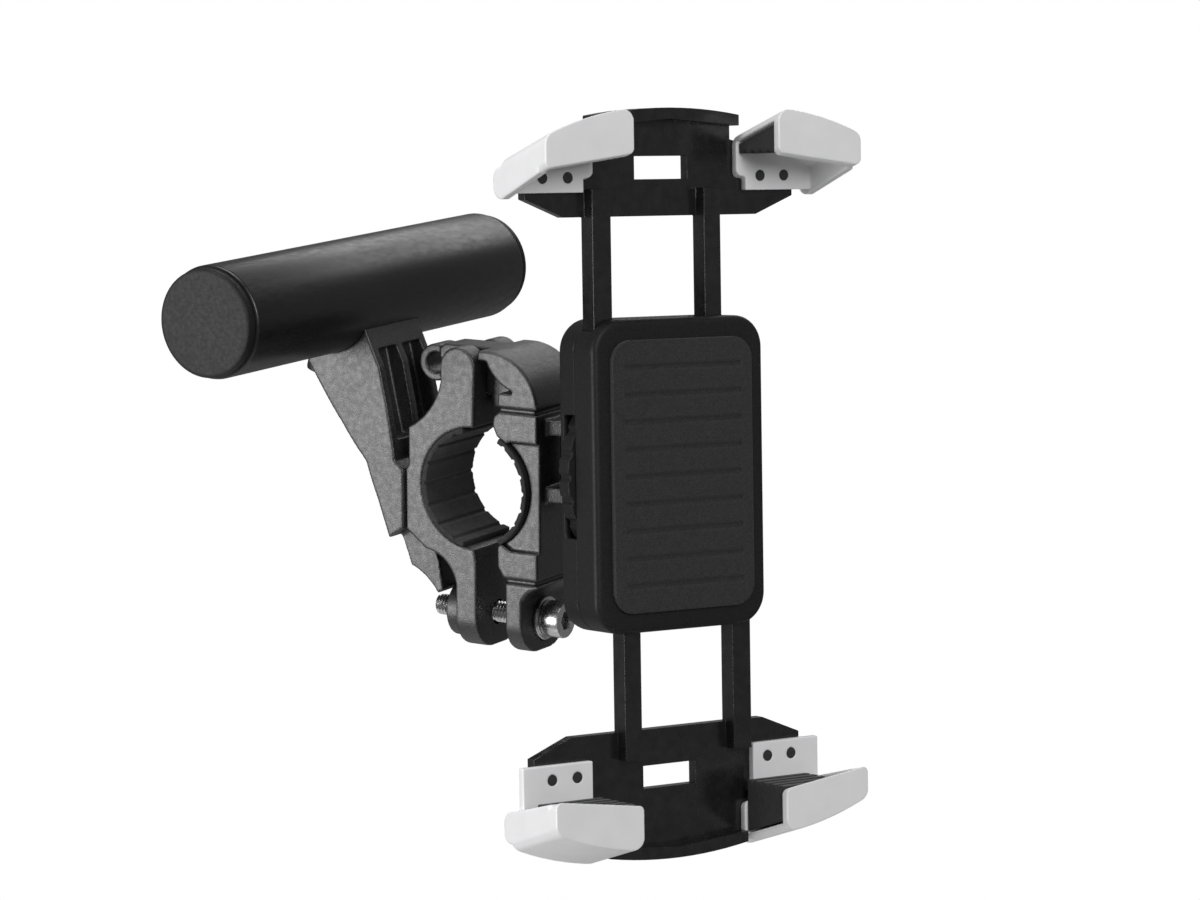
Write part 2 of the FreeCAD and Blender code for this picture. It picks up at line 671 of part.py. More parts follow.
def make_front_jaw():
    """The half of the clamp in front of the handlebar, with its hinge arm, tether eye, ear and lugs."""
    body = new_body("front_jaw")
    shoulder = [
        ("shoulder_y", "arm_top_z", "shoulder_radius"),
        ("front_face_y", "arm_top_z - shoulder_drop"),
    ]
    slab(body, "YZ", "0", "jaw_width", [
        ("-6.2", "-sqrt((%s)^2 - 6.2^2)" % BORE, "-(%s)" % BORE),
        ("-(%s)" % BORE, "0", "-(%s)" % BORE),
        ("-6.2", "sqrt((%s)^2 - 6.2^2)" % BORE),
        ("-5.1", "15"),
        ("-5.4", "17.2"),
        ("-6.6", "18.2"),
        ("-6.6", "shelf_z"),
        ("-13.4", "shelf_z", "11"),
        ("-3.4", "arm_top_z - shoulder_rib"),
        ("-1.3", "arm_top_z - shoulder_rib"),
        ("-1.3", "arm_top_z"),
    ] + shoulder + [
        ("front_face_y", "-21.4", "-6"),
        ("front_ear_y", "-24.9"),
        ("front_ear_y", "ear_bottom_z"),
        ("ear_gap_front_y", "ear_bottom_z"),
        ("ear_gap_front_y", "-20.6"),
        ("-6.3", "-17.4"),
    ])
    ear_corners(body, "(front_ear_y + ear_gap_front_y) / 2")
    slab(body, "YZ", "0", "arm_width", [
        ("-7", "18.2"),
        ("-1.2", "18.2"),
        ("-1.2", "slot_floor_z + 0.6"),
        ("pin_y", "slot_floor_z + 1.4"),
        ("8.4", "23.4"),
        ("12.4", "24"),
        ("12.4", "arm_top_z - 1"),
        ("11", "arm_top_z"),
    ] + shoulder + [("front_face_y", "18.2")])
    disc(body, "YZ", "0", "arm_width - 1.6", "eye_y", "eye_z", "eye_radius")
    disc(body, "YZ", "0", "arm_width + 4", "eye_y", "eye_z", "eye_hole_radius", cut=True)
    disc(body, "YZ", "0", "arm_width + 4", "pin_y", "pin_z", "pin_radius + running_gap", cut=True)
    for z in ("18.8", "-20.3"):
        for side in ("", "-"):
            slab(body, "XY", z, "groove_width", rectangle(side + "(jaw_width / 2 - groove_depth)", "-20",
                 side + "(jaw_width / 2 + 2)", "-5"), cut=True)
        slab(body, "XY", z, "groove_width",
             rectangle("-12", "front_face_y - 2", "12", "front_face_y + groove_depth"),
             cut=True)
    for side in ("", "-"):
        slab(body, "YZ", side + "jaw_width / 2", "2 * waist_depth", [
            ("-4", "8.5"),
            ("-9.6", "11.6"),
            ("-18", "11.6"),
            ("-18", "-13.4"),
            ("-9.6", "-13.4"),
            ("-4", "-10"),
        ], cut=True)
    lug_shift = "swivel_half_height + lug_gap + lug_thickness / 2"
    for side in ("+", "-"):
        level = "joint_z %s (%s)" % (side, lug_shift)
        slab(body, "XY", level, "lug_thickness", [
            ("-swivel_radius - 1.5", "-15.5"),
            ("-swivel_radius", "swivel_y"),
            ("swivel_radius", "swivel_y"),
            ("swivel_radius + 1.5", "-15.5"),
        ])
        disc(body, "XY", level, "lug_thickness", "0", "swivel_y", "swivel_radius")
    disc(body, "XY", "joint_z", "30", "0", "swivel_y", "small_screw_radius", cut=True)
    disc(body, "XZ", "10", "12", "0", "bolt_z", "bolt_hole_radius", cut=True)
    disc(body, "XZ", "10", "12", "0", "bolt_z - bolt_slot_drop", "bolt_hole_radius", cut=True)
    slab(body, "XZ", "10", "12",
         rectangle("-bolt_hole_radius", "bolt_z - bolt_slot_drop", "bolt_hole_radius", "bolt_z"),
         cut=True)
    finish(body, "front_jaw")

    top = "joint_z + swivel_half_height + lug_gap + lug_thickness"
    bottom = "joint_z - swivel_half_height - lug_gap - lug_thickness"
    pivot = screw("swivel_screw", "small_screw_radius",
                  "2 * (swivel_half_height + lug_gap + lug_thickness) + nut_low",
                  "small_head_radius", "small_head_length",
                  at("0", "swivel_y", top + " + small_head_length", FreeCAD.Rotation(X_AXIS, 180)))
    finish(pivot, "swivel_screw")
    place = at("0", "swivel_y", bottom + " - nut_low", FreeCAD.Rotation())
    blank = hexagon("swivel_nut_blank", "small_nut_width", "nut_low", place)
    finish(cut("swivel_nut", blank, cylinder("swivel_nut_bore", "small_screw_radius", "nut_low", place)),
           "swivel_nut")


# ---------------------------------------------------------------- swivel and tilt


def swivel_place():
    return at("0", "swivel_y", "joint_z", FreeCAD.Rotation(Z_AXIS, value("yaw_angle")))


def tilt_place():
    """The frame of the tilting head: the phone's middle, facing the rider, without the roll."""
    tilt = FreeCAD.Placement(FreeCAD.Vector(), FreeCAD.Rotation(X_AXIS, value("tilt_angle")))
    return swivel_place() * at("0", "-tilt_arm") * tilt * at("0", "-tilt_depth")


def holder_place():
    return tilt_place() * at(rotation=FreeCAD.Rotation(Y_AXIS, value("roll_angle")))


def make_swivel_block():
    """The block that swivels between the front jaw's lugs and forks round the tilting head."""
    body = new_body("swivel_block")
    half = "tongue_width / 2 + lug_gap + cheek_width"
    disc(body, "XY", "0", "2 * swivel_half_height", "0", "0", "swivel_radius")
    slab(body, "XY", "0", "2 * tilt_radius", [
        ("-(%s)" % half, "-tilt_arm"),
        (half, "-tilt_arm"),
        (half, "-5"),
        ("swivel_radius - 0.6", "-2"),
        ("-swivel_radius + 0.6", "-2"),
        ("-(%s)" % half, "-5"),
    ])
    disc(body, "YZ", "0", "2 * (%s)" % half, "-tilt_arm", "0", "tilt_radius")
    slab(body, "XY", "0", "4 * tilt_radius", rectangle("-(tongue_width / 2 + lug_gap)", "-2 * tilt_arm",
         "tongue_width / 2 + lug_gap", "-tilt_arm + tilt_radius + 0.3"), cut=True)
    disc(body, "XY", "0", "30", "0", "0", "small_screw_radius + running_gap", cut=True)
    disc(body, "YZ", "0", "30", "-tilt_arm", "0", "small_screw_radius", cut=True)
    finish(body, "swivel_block", swivel_place())

    length = "2 * (%s)" % half
    place = swivel_place() * at("-(%s) - small_head_length" % half, "-tilt_arm", "0", TO_X)
    pivot = screw("tilt_screw", "small_screw_radius", length + " + nut_low", "small_head_radius",
                  "small_head_length",
                  place)
    finish(pivot, "tilt_screw")
    place = swivel_place() * at(half, "-tilt_arm", "0", TO_X)
    blank = hexagon("tilt_nut_blank", "small_nut_width", "nut_low", place)
    finish(cut("tilt_nut", blank, cylinder("tilt_nut_bore", "small_screw_radius", "nut_low", place)),
           "tilt_nut")


def make_tilt_head():
    """The tongue that tilts in the fork, with the flange and spindle that the holder turns on."""
    body = new_body("tilt_head")
    slab(body, "YZ", "0", "tongue_width",
         rectangle("flange_back - 1", "-tilt_radius", "tilt_depth", "tilt_radius"))
    disc(body, "YZ", "0", "tongue_width", "tilt_depth", "0", "tilt_radius")
    disc(body, "XZ", "-(flange_back + flange_front) / 2", "flange_back - flange_front", "0", "0",
         "flange_radius")
    disc(body, "XZ", "-(flange_back + spindle_front) / 2", "flange_back - spindle_front", "0", "0",
         "spindle_radius")
    disc(body, "YZ", "0", "30", "tilt_depth", "0", "small_screw_radius + running_gap", cut=True)
    disc(body, "XZ", "-(spindle_front + hub_thread / 2)", "hub_thread", "0", "0", "hub_screw_radius",
         cut=True)
    finish(body, "tilt_head", tilt_place())

    place = tilt_place() * at("0", "spindle_front - washer_thickness", "0", TO_Y)
    blank = cylinder("hub_washer_blank", "hub_washer_radius", "washer_thickness", place)
    bore = cylinder("hub_washer_bore", "hub_screw_radius", "washer_thickness", place)
    finish(cut("hub_washer", blank, bore), "hub_washer")
    place = tilt_place() * at("0", "spindle_front - washer_thickness - hub_head_length", "0", TO_Y)
    item = screw("hub_screw", "hub_screw_radius", "washer_thickness + hub_thread - 0.5", "hub_head_radius",
                 "hub_head_length", place)
    finish(item, "hub_screw")


# ---------------------------------------------------------------- holder


def rounded(half_width, half_height, radius):
    """The outline of a rectangle with round corners, centred on the origin."""
    near_x = "%s - (%s)" % (half_width, radius)
    near_y = "%s - (%s)" % (half_height, radius)
    return [
        (half_width, "-(%s)" % near_y),
        (half_width, near_y, radius),
        (near_x, half_height),
        ("-(%s)" % near_x, half_height, radius),
        ("-(%s)" % half_width, near_y),
        ("-(%s)" % half_width, "-(%s)" % near_y, radius),
        ("-(%s)" % near_x, "-(%s)" % half_height),
        (near_x, "-(%s)" % half_height, radius),
    ]


def across_y(front, back):
    """The offset and thickness of a slab on the XZ plane between two depths."""
    return "-((%s) + (%s)) / 2" % (front, back), "(%s) - (%s)" % (back, front)


def post_places():
    """Where the four posts stand: clear of the racks, the rails and the wheel."""
    return [("post_x", "post_z"), ("-post_x", "-post_z"), ("-post_near_x", "post_z"),
            ("post_near_x", "-post_z")]


def strip_slots():
    """The gaps in the top wall for the upper bow's rail and rack; the bottom wall's are turned."""
    return [("-rail_outer - slide_gap", "-rail_inner + slide_gap"), ("pitch_radius - gear_module - slide_gap",
            "rack_outer + slide_gap")]


def make_housing():
    """The holder's two shells, the pad that the phone rests on and the screws that hold it together."""
    body = new_body("housing_front")
    wall, half_width, half_height = "housing_wall", "housing_half_width", "housing_half_height"
    front_floor = "housing_front + housing_wall"
    back_floor = "housing_back - housing_wall"
    slab(body, "XZ", *across_y("housing_front", "housing_split"),
         rounded(half_width, half_height, "housing_corner"))
    inside = rounded("(%s - %s)" % (half_width, wall), "(%s - %s)" % (half_height, wall),
                     "(housing_corner - %s)" % wall)
    slab(body, "XZ", *across_y(front_floor, "housing_split"), inside, cut=True)
    disc(body, "XZ", *across_y(front_floor, "housing_split"), "0", "0", "axle_radius")
    for x, z in post_places():
        disc(body, "XZ", *across_y(front_floor, "housing_split"), x, z, "post_radius")
        disc(body, "XZ", *across_y(front_floor, "housing_split"), x, z, "post_screw_radius", cut=True)
    for side in ("", "-"):
        slab(body, "XZ", *across_y(front_floor, "rack_back"),
             rectangle(side + "(rack_outer + slide_gap)", "-guide_half_length",
                       side + "(rail_inner - slide_gap)",
                       "guide_half_length"))
        for inner, outer in strip_slots():
            slab(body, "XZ", *across_y("rack_front - slide_gap", "housing_split + 1"),
                 rectangle(side + "(%s)" % inner, side + "(housing_half_height - housing_corner)",
                           side + "(%s)" % outer, side + "(housing_half_height + 1)"), cut=True)
    round_edges(body, [("0", "housing_front", half_height), ("0", "housing_front", "-" + half_height),
                       (half_width, "housing_front", "0"), ("-" + half_width, "housing_front", "0"),
                       (half_width + " - housing_corner * 0.293", "housing_front",
                        half_height + " - housing_corner * 0.293")], "1.2")
    finish(body, "housing_front", holder_place())

    body = new_body("housing_rear")
    slab(body, "XZ", *across_y("housing_split", "housing_back"),
         rounded(half_width, half_height, "housing_corner"))
    slab(body, "XZ", *across_y("housing_split", back_floor), inside, cut=True)
    for x, z in post_places():
        disc(body, "XZ", *across_y("housing_split", back_floor), x, z, "post_radius")
        disc(body, "XZ", *across_y("housing_split", "housing_back"), x, z, "post_screw_radius", cut=True)
        disc(body, "XZ", *across_y("housing_back - post_head_length", "housing_back"), x, z,
             "post_head_radius + 0.1",
             cut=True)
    slab(body, "XZ", *across_y("housing_split - 1", "wheel_back + slide_gap"),
         rectangle("-30", "-wheel_window", "30", "wheel_window"), cut=True)
    disc(body, "XZ", *across_y("housing_split", "housing_back + 1"), "0", "0",
         "spindle_radius + running_gap", cut=True)
    round_edges(body, [("0", "housing_back", half_height), ("0", "housing_back", "-" + half_height),
                       (half_width, "housing_back", "0"), ("-" + half_width, "housing_back", "0")], "1.6")
    finish(body, "housing_rear", holder_place())

    body = new_body("phone_pad")
    slab(body, "XZ", *across_y("pad_front", "housing_front"),
         rounded("pad_half_width", "pad_half_height", "5"))
    for index in range(PAD_GROOVES):
        level = "pad_half_height * %s" % (0.8 * (2 * index / (PAD_GROOVES - 1) - 1))
        slab(body, "XZ", *across_y("pad_front - 1", "pad_front + 0.5"),
             rectangle("-pad_half_width + 3", level + " - 0.6", "pad_half_width - 3", level + " + 0.6"),
             cut=True)
    finish(body, "phone_pad", holder_place())

    screws = []
    for x, z in post_places():
        place = at(x, "housing_back", z, FreeCAD.Rotation(X_AXIS, 90))
        length = "housing_back - post_head_length - (%s) - 0.5" % front_floor
        screws.append(screw("post_screw", "post_screw_radius", length, "post_head_radius",
                            "post_head_length", place))
    finish(group("housing_screws", screws), "housing_screws", holder_place())

    body = new_body("detent_spring")
    slab(body, "XZ", *across_y("wheel_front + 0.8", "wheel_back - 0.4"), [
        ("-9", "wheel_radius + 2.4"),
        ("-1.2", "wheel_radius + 1"),
        ("0", "wheel_radius + 0.1"),
        ("1.2", "wheel_radius + 1"),
        ("9", "wheel_radius + 2.4"),
        ("9", "wheel_radius + 2.9"),
        ("0", "wheel_radius + 1.5"),
        ("-9", "wheel_radius + 2.9"),
    ])
    finish(body, "detent_spring", holder_place())


def involute_gear(teeth):
    """The outline of a spur gear with involute flanks and a gap centred on +X."""
    pitch = value("pitch_radius")
    module = value("gear_module")
    pressure = math.radians(PRESSURE_ANGLE)
    base = pitch * math.cos(pressure)
    root = pitch - 1.25 * module
    tip = pitch + module
    flank = []
    for index in range(FLANK_STEPS + 1):
        radius = base + (tip - base) * index / FLANK_STEPS
        roll = math.acos(base / radius)
        flank.append((radius, math.tan(roll) - roll))
    at_pitch = math.tan(pressure) - pressure
    half = (math.pi * module / 2 - value("backlash") / 2) / pitch / 2
    points = []
    for tooth in range(teeth):
        middle = 2 * math.pi * (tooth + 0.5) / teeth
        rising = [(root, -half - at_pitch)] + [(radius, angle - half - at_pitch) for radius, angle in flank]
        falling = [(radius, -angle) for radius, angle in reversed(rising)]
        for radius, angle in rising + falling:
            points.append(FreeCAD.Vector(radius * math.cos(middle + angle), 0,
                                         radius * math.sin(middle + angle)))
    return points + points[:1]


def make_dial_wheel():
    """The thumbwheel and its pinion, in one piece, which drive the two bows."""
    gear = doc.addObject("Part::Feature", "pinion")
    teeth = round(2 * value("pitch_radius") / value("gear_module"))
    depth = FreeCAD.Vector(0, value("wheel_front - rack_front + 0.1"), 0)
    gear.Shape = Part.Face(Part.makePolygon(involute_gear(teeth))).extrude(depth)
    gear.Placement = at("0", "rack_front", "0")
    web = cylinder("wheel_web", "wheel_radius", "wheel_web", at("0", "wheel_front", "0", TO_Y))
    rim = cylinder("wheel_rim", "wheel_radius", "wheel_back - wheel_front", at("0", "wheel_front", "0", TO_Y))
    hollow = cylinder("wheel_hollow", "wheel_radius - wheel_rim", "wheel_back - wheel_front",
                      at("0", "wheel_front", "0", TO_Y))
    tools = [cylinder("wheel_bore", "axle_radius + running_gap", "20", at("0", "5", "0", TO_Y))]
    for index in range(WHEEL_NOTCHES):
        angle = 360 * index / WHEEL_NOTCHES
        x = "(wheel_radius + 0.5) * cos(%s)" % angle
        z = "(wheel_radius + 0.5) * sin(%s)" % angle
        tools.append(cylinder("wheel_notch", "1.1", "8", at(x, "wheel_front - 1", z, TO_Y)))
    blank = joined("wheel_blank", [gear, web, cut("wheel_ring", rim, hollow)])
    finish(cut("dial_wheel", blank, joined("wheel_tools", tools)), "dial_wheel", holder_place())


def claw_screw_places():
    return [("claw_inner + 6.5", "claw_screw_z"), ("claw_outer - 9.5", "claw_screw_z")]


def make_bow(label, peak, lean, place):
    """One sliding bow: an arched plate that carries two claws, a guide rail and a toothed rack."""
    body = new_body(label)
    arc_z = "%s - bow_radius + sqrt(bow_radius^2 - (claw_inner - 0.4)^2)" % peak
    shift = lean_shift(lean, "bow_floor_front")
    side_z = "claw_outer_top - %s" % shift
    inner_z = "claw_inner_top - bow_end - %s" % shift
    slab(body, "XZ", *across_y("bow_floor_front", "bow_back"), [
        ("-bow_half_width", "bow_shoulder + 4"),
        ("-bow_half_width + 10", "bow_shoulder"),
        ("bow_half_width - 10", "bow_shoulder"),
        ("bow_half_width", "bow_shoulder + 4"),
        ("bow_half_width", side_z),
        ("claw_inner - 0.4", inner_z),
        ("claw_inner - 0.4", arc_z, "bow_radius"),
        ("0", peak, "bow_radius"),
        ("-claw_inner + 0.4", arc_z),
        ("-claw_inner + 0.4", inner_z),
        ("-bow_half_width", side_z),
    ])
    slab(body, "XZ", *across_y("bow_rim_front", "bow_floor_front + 0.5"), [
        ("-claw_inner + 0.4", arc_z + " - bow_rim"),
        ("0", "%s - bow_rim" % peak),
        ("claw_inner - 0.4", arc_z + " - bow_rim"),
        ("claw_inner - 0.4", arc_z, "bow_radius"),
        ("0", peak, "bow_radius"),
        ("-claw_inner + 0.4", arc_z),
    ])
    slab(body, "XZ", *across_y("rack_front", "rack_back"),
         rectangle("-rail_outer", "rail_tip", "-rail_inner", "bow_shoulder + 6"))
    slab(body, "XZ", *across_y("rack_front", "rack_back"),
         rectangle("pitch_radius + 1.25 * gear_module", "rack_tip", "rack_outer", "bow_shoulder + 6"))
    pitch = "pi * gear_module"
    lean = "gear_module * tan(%s)" % PRESSURE_ANGLE
    root_half = "(%s / 4 - backlash / 4 + 1.25 * %s)" % (pitch, lean)
    tip_half = "(%s / 4 - backlash / 4 - %s)" % (pitch, lean)
    for step in RACK_TEETH:
        middle = "%s * %s" % (step, pitch)
        slab(body, "XZ", *across_y("rack_front", "rack_back"), [
            ("pitch_radius + 1.25 * gear_module + 0.1", "%s - %s" % (middle, root_half)),
            ("pitch_radius + 1.25 * gear_module + 0.1", "%s + %s" % (middle, root_half)),
            ("pitch_radius - gear_module + 0.1", "%s + %s" % (middle, tip_half)),
            ("pitch_radius - gear_module + 0.1", "%s - %s" % (middle, tip_half)),
        ])
    slab(body, "XZ", *across_y("rack_front", "bow_back + 1"), rectangle("-7", "bow_shoulder + 8", "7",
         "bow_shoulder + 13"), cut=True)
    for side in ("", "-"):
        for x, z in claw_screw_places():
            disc(body, "XZ", *across_y("bow_floor_front - 1", "bow_back + 1"), side + "(%s)" % x, z,
                 "claw_screw_radius", cut=True)
            disc(body, "XZ", *across_y("bow_back - claw_head_length", "bow_back + 1"), side + "(%s)" % x, z,
                 "claw_screw_head + 0.1", cut=True)
    finish(body, label, place)


def mirrored_copy(label, body):
    """The same piece for the other side."""
    image = doc.addObject("Part::Mirroring", label + "_image")
    image.Source = body
    image.Normal = X_AXIS
    return image


def make_claw(label, mirrored, lean, place):
    """A claw: a lip over the phone's end, a leaning roof, an end wall and a seat on the bow."""
    body = new_body(label)
    leaning(body, "claw_front", "bow_floor_front", [
        ("claw_inner", "claw_inner_edge"),
        ("claw_outer", "claw_outer_edge"),
        ("claw_outer", "claw_outer_top", "70"),
        ("claw_inner", "claw_inner_top"),
    ], lean)
    middle = "claw_front + 1"
    top_shift = " - " + lean_shift(lean, middle)
    round_edges(body, [("claw_inner", middle, "claw_inner_top" + top_shift),
                       ("claw_outer", middle, "claw_outer_top" + top_shift)], "2.6")
    round_edges(body, [("claw_inner", middle, "claw_inner_edge" + top_shift),
                       ("claw_outer", middle, "claw_outer_edge" + top_shift)], "1.4")
    leaning(body, "lip_back", "claw_seat", [
        ("claw_inner - 2", "claw_inner_edge - 12"),
        ("claw_outer - claw_wall", "claw_outer_edge - 12"),
        ("claw_outer - claw_wall", "claw_outer_top - claw_wall", "70"),
        ("claw_inner - 2", "claw_inner_top - claw_wall + 0.2"),
    ], lean, cut=True)
    slab(body, "XZ", *across_y("claw_seat", "bow_floor_front"),
         rectangle("claw_inner + 2.5", "claw_screw_z - 3.2", "claw_outer - claw_wall + 0.2",
                   "claw_outer_edge + 3.5 - (%s) / 2" % lean_shift(lean, "claw_seat")))
    side = [
        ("claw_front + 3", "claw_outer_edge"),
        ("claw_end_back - 3", "claw_outer_edge - 1", "3"),
        ("claw_end_back", "claw_outer_edge + 2"),
        ("claw_end_back", "claw_outer_top - 3.6", "2.6"),
        ("claw_end_back - 2.6", "claw_outer_top - 1"),
        ("claw_front + 3", "claw_outer_top - 1"),
    ]
    slab(body, "YZ", "claw_outer - claw_wall / 2", "claw_wall",
         [(corner[0], corner[1] + " - " + lean_shift(lean, corner[0])) + corner[2:] for corner in side])
    for x, z in claw_screw_places():
        disc(body, "XZ", *across_y("claw_seat", "bow_floor_front"), x, z, "claw_screw_radius", cut=True)
    finish(mirrored_copy(label, body) if mirrored else body, label, place)


def make_grip(label, mirrored, lean, place):
    """The rubber block that lines a claw and presses on the phone's end."""
    body = new_body(label)
    low = "phone_height / 2 + grip_clearance"
    front, back = "lip_back + grip_clearance", "claw_seat - grip_clearance"
    leaning(body, front, back, [
        ("claw_inner + 0.6", "claw_outer_edge - 8"),
        ("grip_outer", "claw_outer_edge - 8"),
        ("grip_outer", "claw_outer_top - claw_wall - grip_clearance"),
        ("claw_inner + 0.6", "claw_inner_top - claw_wall - 0.5"),
    ], lean)
    slab(body, "XZ", *across_y("claw_front", "claw_seat + 1"),
         rectangle("claw_inner - 1", "claw_outer_edge - 20", "grip_outer + 1", low), cut=True)
    for index in range(GRIP_GROOVES):
        middle = "(lip_back + 2.8 + %s)" % (index * 2.9)
        slab(body, "YZ", "claw_inner + 10", "30",
             rectangle(middle + " - 0.5", low + " - 1", middle + " + 0.5", low + " + 0.6"), cut=True)
    finish(mirrored_copy(label, body) if mirrored else body, label, place)


def make_jaw_set(level, place):
    """One bow with its claws, grips and claw screws; the lower set is turned over and leans the other way."""
    turned = level == "lower"
    lean = "-claw_lean" if turned else "claw_lean"
    make_bow(level + "_bow", "(bow_peak + bow_drop)" if turned else "bow_peak", lean, place)
    for side in ("left", "right"):
        mirrored = (side == "left") != turned
        make_claw("%s_%s_claw" % (level, side), mirrored, lean, place)
        make_grip("%s_%s_grip" % (level, side), mirrored, lean, place)
    screws = []
    for side in ("", "-"):
        for x, z in claw_screw_places():
            spot = at(side + "(%s)" % x, "bow_back", z, FreeCAD.Rotation(X_AXIS, 90))
            length = "bow_back - claw_head_length - claw_seat"
            screws.append(screw("claw_screw", "claw_screw_radius", length, "claw_screw_head",
                                "claw_head_length", spot))
    finish(group(level + "_claw_screws", screws), level + "_claw_screws", place)


def export():
    """Check every object, then write each sub-part to its own file."""
    doc.recompute()
    failed = [item.Name for item in doc.Objects if "Invalid" in item.State or "Error" in item.State]
    if failed:
        raise RuntimeError("these objects failed: " + ", ".join(failed))
    os.makedirs("parts", exist_ok=True)
    for item in parts:
        shape = item.Shape
        if shape.isNull() or not shape.isValid() or not shape.Solids:
            raise RuntimeError(item.Label + " has no valid solid")
        shape.exportStep("parts/%s.step" % item.Label)
        print("%-20s %2d solid(s) %9.1f mm3" % (item.Label, len(shape.Solids), shape.Volume))


fill_sheet()
make_rear_jaw()
make_liner("rear_jaw_liner", "liner_half_angle", 0)
make_bar_bracket()
make_tube()
make_clamp_hardware()
make_clamp_bolt()
make_front_jaw()
make_liner("front_jaw_liner", "front_liner_half_angle", 180)
make_swivel_block()
make_tilt_head()
make_housing()
make_dial_wheel()
make_jaw_set("upper", holder_place())
make_jaw_set("lower", holder_place() * at(rotation=FreeCAD.Rotation(Y_AXIS, 180)))
export()
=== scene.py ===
import json
import math

import bmesh
import bpy
from mathutils import Matrix, Vector


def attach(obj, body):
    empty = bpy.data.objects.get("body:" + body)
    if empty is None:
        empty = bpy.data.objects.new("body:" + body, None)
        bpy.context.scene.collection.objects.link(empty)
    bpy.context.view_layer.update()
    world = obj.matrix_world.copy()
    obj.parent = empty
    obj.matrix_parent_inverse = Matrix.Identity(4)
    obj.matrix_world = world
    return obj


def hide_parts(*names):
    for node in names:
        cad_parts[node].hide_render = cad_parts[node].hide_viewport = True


MM = 0.001

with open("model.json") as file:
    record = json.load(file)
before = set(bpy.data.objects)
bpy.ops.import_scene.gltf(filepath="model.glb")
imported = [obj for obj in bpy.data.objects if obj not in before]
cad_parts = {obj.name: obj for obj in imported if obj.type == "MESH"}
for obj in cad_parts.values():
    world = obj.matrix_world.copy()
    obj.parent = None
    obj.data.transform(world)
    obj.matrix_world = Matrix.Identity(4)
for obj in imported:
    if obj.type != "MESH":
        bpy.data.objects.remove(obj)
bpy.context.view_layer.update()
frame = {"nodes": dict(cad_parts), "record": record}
nodes = frame["nodes"]
body_of_node = {}
for body_name, members in frame["record"]["behaviour"]["bodies"].items():
    for member in members:
        body_of_node[member] = body_name
slot_of_node = {}
for row in frame["record"]["subparts"]:
    slot_of_node[row["node"]] = row["material_slot"]

# The holder's own frame: X across, Y to the back, Z up, with the phone's middle at the origin.
YAW = math.radians(-25)
TILT = math.radians(-6)
ROLL = math.radians(3)
SWIVEL_Y = -23.4
SWIVEL_Z = 7.4
TILT_AHEAD = -12.5
PHONE_AHEAD = -30
SWIVEL = Matrix.Translation(Vector((0, SWIVEL_Y, SWIVEL_Z)) * MM) @ Matrix.Rotation(YAW, 4, "Z")
TILTED = (
    SWIVEL
    @ Matrix.Translation(Vector((0, TILT_AHEAD, 0)) * MM)
    @ Matrix.Rotation(TILT, 4, "X")
    @ Matrix.Translation(Vector((0, PHONE_AHEAD, 0)) * MM)
)
HOLDER = TILTED @ Matrix.Rotation(ROLL, 4, "Y")
LOWER = HOLDER @ Matrix.Rotation(math.pi, 4, "Y")
WORLD = Matrix.Identity(4)


# ---------------------------------------------------------------- materials

COAT_ROUGHNESS = 0.18
NOISE_LOW = 0.3
NOISE_HIGH = 0.7
EDGE_STARTS = 0.55
EDGE_FULL = 0.64

def new_material(name, colour, roughness, metallic=0.0, specular=0.5, coat=0.0, sheen=0.0):
    """A material with its plain values set on the shader itself."""
    material = bpy.data.materials.new(name)
    material.use_nodes = True
    shader = material.node_tree.nodes["Principled BSDF"]
    shader.inputs["Base Color"].default_value = (*colour, 1)
    shader.inputs["Roughness"].default_value = roughness
    shader.inputs["Metallic"].default_value = metallic
    shader.inputs["Specular IOR Level"].default_value = specular
    shader.inputs["Coat Weight"].default_value = coat
    shader.inputs["Coat Roughness"].default_value = COAT_ROUGHNESS
    shader.inputs["Sheen Weight"].default_value = sheen
    return material


def add(material, kind, **values):
    """A node with its named inputs set."""
    node = material.node_tree.nodes.new(kind)
    for key, item in values.items():
        node.inputs[key].default_value = item
    return node


def link(material, source, output, target, entry):
    material.node_tree.links.new(source.outputs[output], target.inputs[entry])


def grain(material, size_mm, stretch=(1, 1, 1), detail=3.0, offset=0.0):
    """A noise texture whose features are about size_mm across, fixed to the piece."""
    place = add(material, "ShaderNodeTexCoord")
    mapping = add(material, "ShaderNodeMapping", Scale=stretch, Location=(offset, offset, offset))
    texture = add(material, "ShaderNodeTexNoise", Scale=1 / (size_mm * MM), Detail=detail)
    link(material, place, "Object", mapping, "Vector")
    link(material, mapping, "Vector", texture, "Vector")
    return texture


def ramp(material, source, output, stops):
    """A colour ramp from a list of (position, grey or colour)."""
    node = material.node_tree.nodes.new("ShaderNodeValToRGB")
    elements = node.color_ramp.elements
    while len(elements) < len(stops):
        elements.new(0.5)
    for element, (position, colour) in zip(elements, stops):
        element.position = position
        element.color = (*colour, 1) if isinstance(colour, tuple) else (colour, colour, colour, 1)
    link(material, source, output, node, "Fac")
    return node


def roughen(material, texture, low, high):
    """Vary the roughness with a texture."""
    limits = {"From Min": NOISE_LOW, "From Max": NOISE_HIGH, "To Min": low, "To Max": high}
    spread = add(material, "ShaderNodeMapRange", **limits)
    link(material, texture, "Fac", spread, "Value")
    link(material, spread, "Result", material.node_tree.nodes["Principled BSDF"], "Roughness")


def bump(material, texture, height_mm, strength):
    """Relief from a texture, with the height of its deepest feature."""
    relief = add(material, "ShaderNodeBump", Strength=strength, Distance=height_mm * MM)
    link(material, texture, "Fac", relief, "Height")
    link(material, relief, "Normal", material.node_tree.nodes["Principled BSDF"], "Normal")


